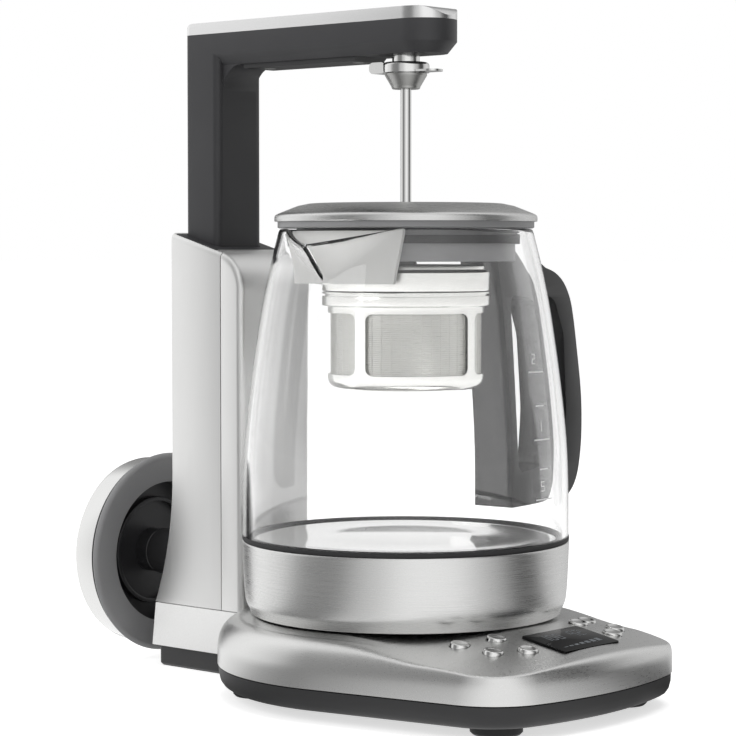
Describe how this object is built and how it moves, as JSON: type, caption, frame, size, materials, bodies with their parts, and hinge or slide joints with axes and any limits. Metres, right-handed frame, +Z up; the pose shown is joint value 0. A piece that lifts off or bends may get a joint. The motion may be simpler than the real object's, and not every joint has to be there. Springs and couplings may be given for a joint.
{
  "type": "automatic tea maker",
  "caption": "Glass jug with lid and handle on a power base with a sloping panel, and a tower whose arm lowers a tea basket on a rod.",
  "frame": {"origin": "on the table, under the middle of the whole appliance's bounding box", "axes": "+Z up, -Y to the front with the control panel, +Y to the tower, +X to the jug's handle"},
  "size_m": [0.2161, 0.2886, 0.3044],
  "materials": {
    "brushed_steel": "brushed, satin",
    "dark_plastic": "fine matt",
    "arm_plastic": "satin dark grey",
    "black_plastic": "satin black",
    "grey_plastic": "satin grey",
    "light_plastic": "smooth light grey",
    "side_metal": "light, finely brushed",
    "silver_cap": "bright satin",
    "polished_steel": "polished",
    "plain_steel": "plain",
    "mesh_steel": "fine mesh",
    "rubber": "soft matt",
    "display_glass": "black gloss",
    "jug_glass": "clear",
    "board": "printed board",
    "brass": "machined"
  },
  "bodies": {
    "body": {"base_shell": "brushed_steel", "base_tray": "dark_plastic", "base_feet": "rubber", "base_screws": "plain_steel", "display_window": "display_glass", "display_module": "black_plastic", "control_board": "board", "power_connector": "black_plastic", "tower_front_cover": "side_metal", "tower_rear_cover": "side_metal", "tower_top_bezel": "arm_plastic", "tower_plinth": "light_plastic", "tower_foot": "dark_plastic", "tower_frame": "dark_plastic", "cord_gland": "rubber", "lift_motor": "plain_steel", "motor_gearbox": "plain_steel", "screw_bearing": "brass", "power_board": "board", "limit_switches": "black_plastic", "lid_dock": "dark_plastic"},
    "arm": {"arm_housing": "arm_plastic", "arm_cap": "silver_cap", "arm_underplate": "grey_plastic", "arm_screws": "plain_steel", "drive_nut": "brass", "coupling_hub": "polished_steel", "rod_socket": "polished_steel", "lift_rod": "polished_steel", "basket_cap": "brushed_steel"},
    "lead_screw": {"lead_screw": "plain_steel"},
    "release_lever": {"release_lever": "polished_steel"},
    "basket": {"basket_frame": "brushed_steel", "basket_mesh": "mesh_steel"},
    "jug": {"jug_glass": "jug_glass", "jug_base_ring": "brushed_steel", "glass_seal": "rubber", "heating_plate": "brushed_steel", "heating_element": "plain_steel", "jug_bottom_cover": "black_plastic", "jug_connector": "black_plastic", "jug_handle": "black_plastic", "spout_filter": "plain_steel"},
    "lid": {"lid_cover": "brushed_steel", "lid_plug": "grey_plastic", "lid_seal": "rubber", "lid_bush": "polished_steel"},
    "spare_lid": {"spare_lid_cover": "brushed_steel", "spare_lid_plug": "grey_plastic", "spare_lid_seal": "rubber"},
    "button_left_1": {"button_left_1": "polished_steel"},
    "button_right_1": {"button_right_1": "polished_steel"},
    "button_left_2": {"button_left_2": "polished_steel"},
    "button_right_2": {"button_right_2": "polished_steel"},
    "button_left_3": {"button_left_3": "polished_steel"},
    "button_right_3": {"button_right_3": "polished_steel"},
    "button_left_4": {"button_left_4": "polished_steel"},
    "button_right_4": {"button_right_4": "polished_steel"}
  },
  "joints": [
    {"name": "arm_lift", "type": "slide", "parent": "body", "child": "arm", "axis": [0, 0, 1], "range_m": [-0.046, 0]},
    {"name": "screw_spin", "type": "hinge", "parent": "body", "child": "lead_screw", "pos_m": [-0.0235, 0.0855, 0.06], "axis": [0, 0, 1], "range_deg": [0, 2071]},
    {"name": "lever_slide", "type": "slide", "parent": "arm", "child": "release_lever", "axis": [0, 0, 1], "range_m": [0, 0.0024], "stiffness_N_per_m": 500, "springref_m": -0.001},
    {"name": "basket_twist", "type": "hinge", "parent": "arm", "child": "basket", "pos_m": [-0.0235, -0.0283, 0.18], "axis": [0, 0, 1], "range_deg": [0, 30]},
    {"name": "jug_lift", "type": "slide", "parent": "body", "child": "jug", "axis": [0, 0, 1], "range_m": [0, 0.012]},
    {"name": "lid_lift", "type": "slide", "parent": "jug", "child": "lid", "axis": [0, 0, 1], "range_m": [0, 0.03]},
    {"name": "spare_lid_pull", "type": "slide", "parent": "body", "child": "spare_lid", "axis": [0, 1, 0], "range_m": [0, 0.03]},
    {"name": "button_left_1_press", "type": "slide", "parent": "body", "child": "button_left_1", "axis": [0, 0.1788, -0.9839], "range_m": [0, 0.0008], "stiffness_N_per_m": 800},
    {"name": "button_right_1_press", "type": "slide", "parent": "body", "child": "button_right_1", "axis": [0, 0.1788, -0.9839], "range_m": [0, 0.0008], "stiffness_N_per_m": 800},
    {"name": "button_left_2_press", "type": "slide", "parent": "body", "child": "button_left_2", "axis": [0, 0.1788, -0.9839], "range_m": [0, 0.0008], "stiffness_N_per_m": 800},
    {"name": "button_right_2_press", "type": "slide", "parent": "body", "child": "button_right_2", "axis": [0, 0.1788, -0.9839], "range_m": [0, 0.0008], "stiffness_N_per_m": 800},
    {"name": "button_left_3_press", "type": "slide", "parent": "body", "child": "button_left_3", "axis": [0, 0.1788, -0.9839], "range_m": [0, 0.0008], "stiffness_N_per_m": 800},
    {"name": "button_right_3_press", "type": "slide", "parent": "body", "child": "button_right_3", "axis": [0, 0.1788, -0.9839], "range_m": [0, 0.0008], "stiffness_N_per_m": 800},
    {"name": "button_left_4_press", "type": "slide", "parent": "body", "child": "button_left_4", "axis": [0, 0.1788, -0.9839], "range_m": [0, 0.0008], "stiffness_N_per_m": 800},
    {"name": "button_right_4_press", "type": "slide", "parent": "body", "child": "button_right_4", "axis": [0, 0.1788, -0.9839], "range_m": [0, 0.0008], "stiffness_N_per_m": 800}
  ],
  "couplings": [
    {"joint": "screw_spin", "follows": "arm_lift", "rad_per_m": -785.4}
  ]
}
